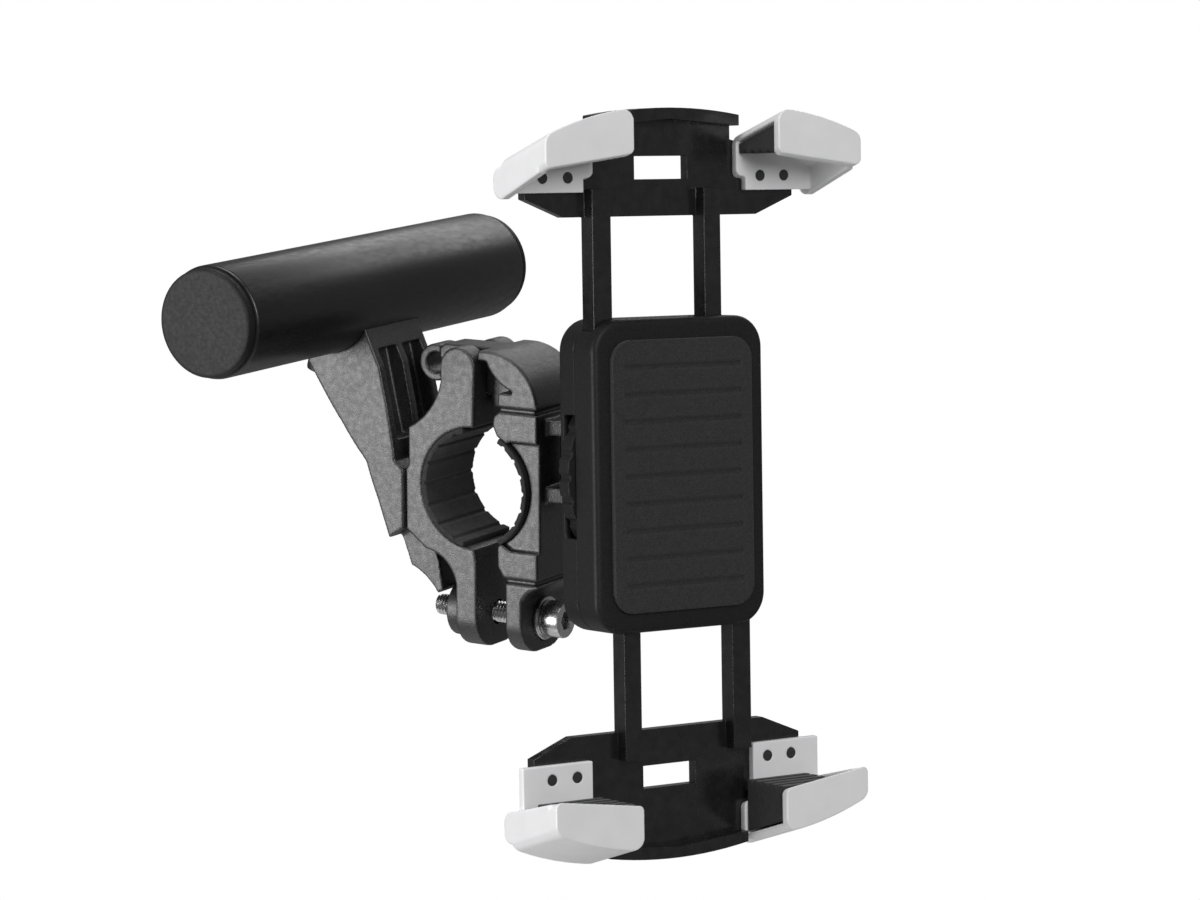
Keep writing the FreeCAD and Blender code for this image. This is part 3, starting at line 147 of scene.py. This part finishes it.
def edge_wear_and_highlight(material, base, edge, amount):
    """Mix a paler colour in along convex edges: partly edge wear, partly a painted highlight on the edges.
    """
    shape = add(material, "ShaderNodeNewGeometry")
    mask = ramp(material, shape, "Pointiness", [(EDGE_STARTS, 0.0), (EDGE_FULL, amount)])
    mix = material.node_tree.nodes.new("ShaderNodeMix")
    mix.data_type = "RGBA"
    mix.inputs[7].default_value = (*edge, 1)
    material.node_tree.links.new(mask.outputs["Color"], mix.inputs[0])
    material.node_tree.links.new(base.outputs["Color"], mix.inputs[6])
    material.node_tree.links.new(
        mix.outputs[2], material.node_tree.nodes["Principled BSDF"].inputs["Base Color"]
    )


def painted(material, base):
    link(material, base, "Color", material.node_tree.nodes["Principled BSDF"], "Base Color")


def make_materials():
    """Every finish on the mount, each with its own grain, relief and roughness."""
    made = {}

    m = new_material("powder_coat", (0.012, 0.012, 0.012), 0.5, specular=1.0)
    speck = grain(m, 0.32, detail=2.0)
    # Paler convex edges on the castings: partly wear, partly a painted edge highlight.
    edge_wear_and_highlight(m, ramp(m, speck, "Fac", [(0.42, 0.003), (0.55, 0.006), (0.68, 0.045)]), (0.06, 0.06, 0.06), 0.35)
    roughen(m, grain(m, 1.4), 0.40, 0.50)
    bump(m, speck, 0.06, 0.9)
    made["casting"] = m

    m = new_material("anodised_tube", (0.005, 0.005, 0.0055), 0.34, specular=0.6)
    streak = grain(m, 0.25, stretch=(0.06, 1, 1), detail=4.0)
    painted(m, ramp(m, streak, "Fac", [(0.3, 0.003), (0.7, 0.007)]))
    roughen(m, grain(m, 1.2, stretch=(0.4, 1, 1)), 0.30, 0.42)
    bump(m, streak, 0.008, 0.5)
    made["tube"] = m

    m = new_material("moulded_plastic", (0.011, 0.011, 0.0115), 0.5, specular=0.2)
    spark = grain(m, 0.2, detail=2.0)
    # Paler convex edges on the plastic: partly wear, partly a painted edge highlight.
    edge_wear_and_highlight(m, ramp(m, spark, "Fac", [(0.35, 0.006), (0.65, 0.018)]), (0.05, 0.05, 0.05), 0.35)
    roughen(m, grain(m, 0.9, offset=0.2), 0.44, 0.54)
    bump(m, spark, 0.025, 0.6)
    made["black_plastic"] = m

    m = new_material("polished_plastic", (0.012, 0.012, 0.013), 0.22, coat=0.35)
    wave = grain(m, 2.5, detail=1.0)
    painted(m, ramp(m, wave, "Fac", [(0.3, 0.006), (0.7, 0.012)]))
    roughen(m, grain(m, 1.6), 0.2, 0.3)
    bump(m, wave, 0.006, 0.3)
    made["gloss_black"] = m

    m = new_material("satin_white", (0.8, 0.8, 0.81), 0.38, specular=0.45)
    fine = grain(m, 0.18, detail=2.0)
    cloud = grain(m, 6.0, detail=3.0, offset=0.4)
    painted(m, ramp(m, cloud, "Fac", [(0.3, (0.77, 0.77, 0.78)), (0.7, (0.81, 0.81, 0.82))]))
    roughen(m, grain(m, 0.8), 0.32, 0.46)
    bump(m, fine, 0.012, 0.5)
    made["claw_white"] = m

    m = new_material("soft_rubber", (0.02, 0.02, 0.02), 0.78, specular=0.3, sheen=0.12)
    dust = grain(m, 0.3, detail=4.0)
    painted(m, ramp(m, dust, "Fac", [(0.35, 0.014), (0.7, 0.036)]))
    roughen(m, grain(m, 2.0), 0.68, 0.86)
    bump(m, dust, 0.03, 0.6)
    made["rubber"] = m

    m = new_material("zinc_plate", (0.62, 0.62, 0.63), 0.26, metallic=1.0)
    scratch = grain(m, 0.5, stretch=(1, 0.2, 1), detail=2.0)
    painted(m, ramp(m, scratch, "Fac", [(0.3, (0.5, 0.5, 0.51)), (0.7, (0.72, 0.72, 0.73))]))
    roughen(m, grain(m, 0.7), 0.18, 0.36)
    bump(m, scratch, 0.002, 0.15)
    made["bright_steel"] = m

    m = new_material("black_oxide", (0.05, 0.05, 0.05), 0.36, metallic=0.7)
    haze = grain(m, 0.25, detail=3.0)
    # Paler convex edges on the black steel: partly wear, partly a painted edge highlight.
    edge_wear_and_highlight(m, ramp(m, haze, "Fac", [(0.3, 0.03), (0.7, 0.07)]), (0.3, 0.3, 0.3), 0.5)
    roughen(m, grain(m, 0.9), 0.28, 0.46)
    bump(m, haze, 0.006, 0.5)
    made["black_steel"] = m
    return made


FINISH = make_materials()


# ---------------------------------------------------------------- pieces

MERGE_DISTANCE = 1e-6
FLAT_WITHIN = math.radians(1.5)
BEVEL_ABOVE = math.radians(38)
BEVEL_SEGMENTS = 3
SCREW_POINTS = 72
THREAD_STEPS = 8

def show(piece, node):
    """Give a piece its node's finish and body, and hide the node it takes the place of."""
    slot = slot_of_node[node]
    piece.data.materials.clear()
    piece.data.materials.append(FINISH[slot])
    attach(piece, body_of_node[node])
    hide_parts(node)
    return piece


def new_piece(name, mesh):
    piece = bpy.data.objects.new(name, mesh)
    bpy.context.scene.collection.objects.link(piece)
    return piece


def baked(piece):
    """Apply every modifier of a piece."""
    graph = bpy.context.evaluated_depsgraph_get()
    mesh = bpy.data.meshes.new_from_object(piece.evaluated_get(graph))
    piece.modifiers.clear()
    piece.data = mesh
    return piece


def shade(piece, angle=None):
    """Smooth shading, with edges sharper than the angle kept."""
    piece.data.shade_smooth()
    if angle is not None:
        piece.data.set_sharp_from_angle(angle=math.radians(angle))


def softened(node, voxel_mm, passes, keep, place=WORLD):
    """A copy of a node as it would leave its mould, with every edge rounded over."""
    mesh = nodes[node].data.copy()
    mesh.transform(place.inverted())
    piece = new_piece(node + "_moulded", mesh)
    remesh = piece.modifiers.new("remesh", "REMESH")
    remesh.mode = "VOXEL"
    remesh.voxel_size = voxel_mm * MM
    smooth = piece.modifiers.new("smooth", "SMOOTH")
    smooth.factor = 0.5
    smooth.iterations = passes
    fewer = piece.modifiers.new("fewer", "DECIMATE")
    fewer.ratio = keep
    baked(piece)
    piece.data.transform(place)
    shade(piece)
    return show(piece, node)


def bevelled(node, width_mm, place=WORLD):
    """A copy of a node with its flat faces whole and its sharp edges broken."""
    mesh = nodes[node].data.copy()
    mesh.transform(place.inverted())
    stored = mesh.attributes.get("custom_normal")
    if stored:
        mesh.attributes.remove(stored)
    shape = bmesh.new()
    shape.from_mesh(mesh)
    bmesh.ops.remove_doubles(shape, verts=shape.verts, dist=MERGE_DISTANCE)
    bmesh.ops.dissolve_limit(shape, angle_limit=FLAT_WITHIN, verts=shape.verts, edges=shape.edges)
    shape.to_mesh(mesh)
    shape.free()
    mesh.shade_smooth()
    piece = new_piece(node + "_edged", mesh)
    edge = piece.modifiers.new("edge", "BEVEL")
    edge.width = width_mm * MM
    edge.segments = BEVEL_SEGMENTS
    edge.limit_method = "ANGLE"
    edge.angle_limit = BEVEL_ABOVE
    level = piece.modifiers.new("level", "WEIGHTED_NORMAL")
    level.weight = 100
    baked(piece)
    piece.data.transform(place)
    return show(piece, node)


def rings_to_mesh(name, rings, closed_ends=True):
    """A skin over rings of equal length, each closed on itself."""
    shape = bmesh.new()
    rows = [[shape.verts.new(point) for point in ring] for ring in rings]
    for row, after in zip(rows, rows[1:]):
        for index in range(len(row)):
            following = (index + 1) % len(row)
            shape.faces.new((row[index], row[following], after[following], after[index]))
    if closed_ends:
        shape.faces.new(list(reversed(rows[0])))
        shape.faces.new(rows[-1])
    bmesh.ops.recalc_face_normals(shape, faces=shape.faces)
    mesh = bpy.data.meshes.new(name)
    shape.to_mesh(mesh)
    shape.free()
    return mesh


def circle(radius, height, count):
    """A ring of points round the Z axis."""
    ring = []
    for index in range(count):
        angle = 2 * math.pi * index / count
        ring.append(Vector((radius * math.cos(angle), radius * math.sin(angle), height)) * MM)
    return ring


def turned(name, profile, place, count):
    """A body turned from (radius, height) points along its axis, in millimetres."""
    mesh = rings_to_mesh(name, [circle(radius, height, count) for radius, height in profile])
    mesh.transform(place)
    piece = new_piece(name, mesh)
    shade(piece, 28)
    return piece


def hexagon_ring(across, height, count):
    """A hexagon divided into count points, so that it can be bridged to a circle."""
    ring = []
    for index in range(count):
        angle = 2 * math.pi * index / count
        sector = (angle % (math.pi / 3)) - math.pi / 6
        radius = across / 2 / math.cos(sector)
        ring.append(Vector((radius * math.cos(angle), radius * math.sin(angle), height)) * MM)
    return ring


def screw_rings(head, shank, pitch, count=SCREW_POINTS):
    """A socket-head screw: head and shank are (radius, length); the head's top is at height 0."""
    head_radius, head_length = head
    shank_radius, shank_length = shank
    across = head_radius * 0.95
    edge = head_radius * 0.12
    rings = [
        hexagon_ring(across * 0.9, head_length * 0.6, count),
        hexagon_ring(across, head_length * 0.58, count),
        hexagon_ring(across, edge * 0.6, count),
        hexagon_ring(across * 1.07, 0, count),
        circle(head_radius - edge, 0, count),
        circle(head_radius - edge * 0.3, edge * 0.3, count),
    ]
    knurl = head_radius * 0.022
    for height in (edge * 1.3, head_length - edge):
        ring = []
        for index, point in enumerate(circle(head_radius, height, count)):
            flat = Vector((point.x, point.y, 0)).normalized()
            ring.append(point - flat * knurl * MM * (index % 2))
        rings.append(ring)
    rings.append(circle(head_radius - edge * 0.3, head_length - edge * 0.2, count))
    rings.append(circle(head_radius - edge, head_length, count))
    rings.append(circle(shank_radius, head_length, count))
    steps = max(int(shank_length / pitch * THREAD_STEPS), 2) if pitch else 2
    depth = pitch * 0.5
    for step in range(steps + 1):
        height = head_length + shank_length * step / steps
        ring = []
        for index in range(count):
            angle = 2 * math.pi * index / count
            turn = (height / pitch - index / count) % 1 if pitch else 0
            fade = min(1, (head_length + shank_length - height) / max(pitch, 0.1) + 0.15)
            radius = shank_radius - depth * (1 - fade) * 0.8 - depth * abs(2 * turn - 1)
            ring.append(Vector((radius * math.cos(angle), radius * math.sin(angle), height)) * MM)
        rings.append(ring)
    return rings


def screws(name, node, head, shank, pitch, places):
    """All the screws of one node, with their sockets, knurls and threads, in one piece."""
    whole = bmesh.new()
    for place in places:
        mesh = rings_to_mesh(name, screw_rings(head, shank, pitch))
        mesh.transform(place)
        whole.from_mesh(mesh)
    mesh = bpy.data.meshes.new(name)
    whole.to_mesh(mesh)
    whole.free()
    piece = new_piece(name, mesh)
    shade(piece, 32)
    return show(piece, node)


def toward(direction):
    """A turn that takes the +Z axis to a direction."""
    return Vector(direction).to_track_quat("Z", "Y").to_matrix().to_4x4()


def spot(x, y, z, direction, place=WORLD):
    """A place in millimetres whose +Z axis points along a direction."""
    return place @ Matrix.Translation(Vector((x, y, z)) * MM) @ toward(direction)


# ---------------------------------------------------------------- the clamp and the bracket

for node in ("rear_jaw", "front_jaw"):
    softened(node, 0.28, 7, 0.5)
softened("bar_bracket", 0.3, 7, 0.5)

TUBE_Y = 39.3
TUBE_Z = 40.9
TUBE = Vector((0, TUBE_Y, TUBE_Z))
TUBE_RADIUS = 12.7
TUBE_BORE = 10.7
TUBE_POINTS = 192
TUBE_HALF_LENGTH = 55
SEAT_RADIUS = 12.4
SEAT_HALF_LENGTH = 11.1
SEAT_ANGLES = (211, 296)
SEAT_STEP = 0.1
TUBE_SCREW_ANGLE = math.radians(285)
TUBE_SCREW_HEAD = 18.4


def seated(ring):
    """Draw in the part of a ring of the tube that lies in the bracket's saddle."""
    moved = []
    for point in ring:
        angle = math.degrees(math.atan2(-point.x, point.y)) % 360
        inside = SEAT_ANGLES[0] < angle < SEAT_ANGLES[1]
        scale = SEAT_RADIUS / TUBE_RADIUS if inside else 1
        moved.append(Vector((point.x * scale, point.y * scale, point.z)))
    return moved


def tube_rings(count=TUBE_POINTS):
    """The tube from inside its left end, along its outside, to inside its right end."""
    end = [(TUBE_BORE, 0), (11.9, 0), (12.35, 0.14), (12.62, 0.4), (TUBE_RADIUS, 0.8)]
    rings = [circle(radius, depth - TUBE_HALF_LENGTH, count) for radius, depth in end]
    rings.append(circle(TUBE_RADIUS, -SEAT_HALF_LENGTH, count))
    rings.append(seated(circle(TUBE_RADIUS, SEAT_STEP - SEAT_HALF_LENGTH, count)))
    rings.append(seated(circle(TUBE_RADIUS, SEAT_HALF_LENGTH - SEAT_STEP, count)))
    rings.append(circle(TUBE_RADIUS, SEAT_HALF_LENGTH, count))
    rings.extend(circle(radius, TUBE_HALF_LENGTH - depth, count) for radius, depth in reversed(end))
    rings.append(circle(TUBE_BORE, -TUBE_HALF_LENGTH, count))
    return rings


tube_place = Matrix.Translation(TUBE * MM) @ Matrix.Rotation(math.pi / 2, 4, "Y")
tube_mesh = rings_to_mesh("tube_skin", tube_rings(), closed_ends=False)
tube_mesh.transform(tube_place)
tube = new_piece("accessory_tube_skin", tube_mesh)
shade(tube, 35)
show(tube, "accessory_tube")

cap_profile = [
    (8.7, -9.0),
    (10.65, -9.0),
    (10.65, 0.0),
    (11.75, 0.0),
    (12.0, 0.1),
    (12.1, 0.4),
    (12.1, 1.75),
    (12.03, 2.12),
    (11.82, 2.4),
    (11.5, 2.5),
    (11.0, 2.52),
    (8.0, 2.56),
    (4.0, 2.59),
    (0.3, 2.6),
]
for label, side in (("tube_cap_left", -1), ("tube_cap_right", 1)):
    end_point = TUBE + Vector((TUBE_HALF_LENGTH * side, 0, 0))
    place = Matrix.Translation(end_point * MM) @ toward((side, 0, 0))
    show(turned(label + "_turned", cap_profile, place, 160), label)

for node in ("hinge_pin", "clamp_nut", "clamp_washer", "swivel_nut", "tilt_nut"):
    bevelled(node, 0.25)
bevelled("tube_nut_plate", 0.2)
for node in ("rear_jaw_liner", "front_jaw_liner"):
    softened(node, 0.22, 3, 0.6)

# Each screw is (head radius, head length), (shank radius, shank length), thread pitch.
SMALL_HEAD = (3.5, 3)
SMALL_SHANK = 2
screws(
    "clamp_bolt_thread", "clamp_bolt", (4.2, 5), (2.45, 29.3), 0.8,
    [spot(0, -18.6, -30.2, (0, 1, 0))],
)
screws(
    "bracket_screw_pair", "bracket_screws", SMALL_HEAD, (SMALL_SHANK, 7.3), 0,
    [spot(x, 25.2, -4, (0, -1, 0)) for x in (5.5, -5.5)],
)
out = Vector((0, math.cos(TUBE_SCREW_ANGLE), math.sin(TUBE_SCREW_ANGLE)))
screws(
    "tube_screw_pair", "tube_screws", SMALL_HEAD, (SMALL_SHANK, 6.9), 0,
    [
        spot(x, TUBE_Y + TUBE_SCREW_HEAD * out.y, TUBE_Z + TUBE_SCREW_HEAD * out.z, -out)
        for x in (6, -6)
    ],
)
screws(
    "swivel_screw_thread", "swivel_screw", SMALL_HEAD, (SMALL_SHANK, 21.4), 0.7,
    [spot(0, SWIVEL_Y, 19.8, (0, 0, -1))],
)

# ---------------------------------------------------------------- swivel, tilt and holder

softened("swivel_block", 0.2, 4, 0.5, SWIVEL)
softened("tilt_head", 0.2, 4, 0.5, TILTED)
screws(
    "tilt_screw_thread", "tilt_screw", SMALL_HEAD, (SMALL_SHANK, 17.7), 0.7,
    [spot(-10.55, TILT_AHEAD, 0, (1, 0, 0), SWIVEL)],
)
bevelled("hub_washer", 0.15, TILTED)
screws(
    "hub_screw_head", "hub_screw", (2.75, 1.5), (1.5, 7.5), 0,
    [spot(0, 14.4, 0, (0, 1, 0), TILTED)],
)
softened("housing_front", 0.3, 3, 0.4, HOLDER)
softened("housing_rear", 0.3, 3, 0.4, HOLDER)
softened("dial_wheel", 0.2, 2, 0.5, HOLDER)
bevelled("detent_spring", 0.1, HOLDER)
posts = ((18.3, 29.4), (-18.3, -29.4), (-3, 29.4), (3, -29.4))
screws(
    "housing_screw_set", "housing_screws", (2.2, 1.5), (1.2, 10.5), 0,
    [spot(x, 19.2, z, (0, -1, 0), HOLDER) for x, z in posts],
)
pad = softened("phone_pad", 0.2, 3, 0.5, HOLDER)

# ---------------------------------------------------------------- bows and claws

for level, place in (("upper", HOLDER), ("lower", LOWER)):
    bevelled(level + "_bow", 0.3, place)
    for side in ("left", "right"):
        softened("%s_%s_claw" % (level, side), 0.22, 5, 0.5, place)
        softened("%s_%s_grip" % (level, side), 0.22, 3, 0.5, place)
    spots = [(25.5, 64.5), (32, 64.5), (-25.5, 64.5), (-32, 64.5)]
    screws(
        level + "_claw_screw_set", level + "_claw_screws", (2.3, 1.3), (1.2, 3.1), 0,
        [spot(x, 13.6, z, (0, -1, 0), place) for x, z in spots],
    )

# ---------------------------------------------------------------- stage, lights and camera

FLOOR_Z = -0.42
FLOOR_RADIUS = 420
FLOOR_DEPTH = 6
FILL = 0.18

floor_profile = [
    (0.2, -FLOOR_DEPTH),
    (FLOOR_RADIUS - 4, -FLOOR_DEPTH),
    (FLOOR_RADIUS, -3),
    (FLOOR_RADIUS - 3, 0),
    (0.2, 0),
]
floor = turned("floor", floor_profile, Matrix.Translation((0, 0, FLOOR_Z)), 180)
floor.data.materials.append(new_material("pale_floor", (0.72, 0.72, 0.72), 0.85, specular=0.1))


def make_world():
    """An even studio: white where it is seen, and dimmer as a light on the mount."""
    world = bpy.data.worlds.new("studio")
    bpy.context.scene.world = world
    world.use_nodes = True
    tree = world.node_tree
    choice = tree.nodes.new("ShaderNodeMixShader")
    path = tree.nodes.new("ShaderNodeLightPath")
    tree.links.new(path.outputs["Is Camera Ray"], choice.inputs[0])
    for entry, strength in ((1, FILL), (2, 1.0)):
        light = tree.nodes.new("ShaderNodeBackground")
        light.inputs["Color"].default_value = (1, 1, 1, 1)
        light.inputs["Strength"].default_value = strength
        tree.links.new(light.outputs["Background"], choice.inputs[entry])
    tree.links.new(choice.outputs["Shader"], tree.nodes["World Output"].inputs["Surface"])


make_world()


def softbox(name, position, size, power):
    """A rectangular lamp that faces the mount."""
    lamp = bpy.data.lights.new(name, "AREA")
    lamp.shape = "RECTANGLE"
    lamp.size, lamp.size_y = size
    lamp.energy = power
    item = bpy.data.objects.new(name, lamp)
    bpy.context.scene.collection.objects.link(item)
    item.location = position
    aim = Vector((0, -0.01, 0.02)) - Vector(position)
    item.rotation_euler = aim.to_track_quat("-Z", "Y").to_euler()


softbox("left_box", (-1.1, 0.70, -0.05), (0.6, 0.7), 12)
softbox("top_box", (-0.25, 0.15, 1.2), (0.9, 0.4), 8)
softbox("right_box", (1.1, 0.15, 0.65), (1.0, 0.35), 2.6)
softbox("key_box", (-0.7, -1.1, 0.6), (0.6, 0.6), 10)

LENS = 117.57
CAMERA_PLACE = (-0.7445, -0.4684, 0.1686)
RIGHT = Vector((0.5096, -0.8604, 0.0))
UPWARD = Vector((0.1551, 0.0919, 0.9836))
BACK = Vector((-0.8463, -0.5013, 0.1803))

camera_data = bpy.data.cameras.new("camera")
camera_data.sensor_width = 36
camera_data.lens = LENS
camera_data.clip_start = 0.01
camera_data.clip_end = 60
camera = bpy.data.objects.new("camera", camera_data)
bpy.context.scene.collection.objects.link(camera)
turn = Matrix((RIGHT, UPWARD, BACK)).transposed().to_4x4()
camera.matrix_world = Matrix.Translation(CAMERA_PLACE) @ turn
bpy.context.scene.camera = camera
bpy.context.scene.view_settings.view_transform = "Standard"
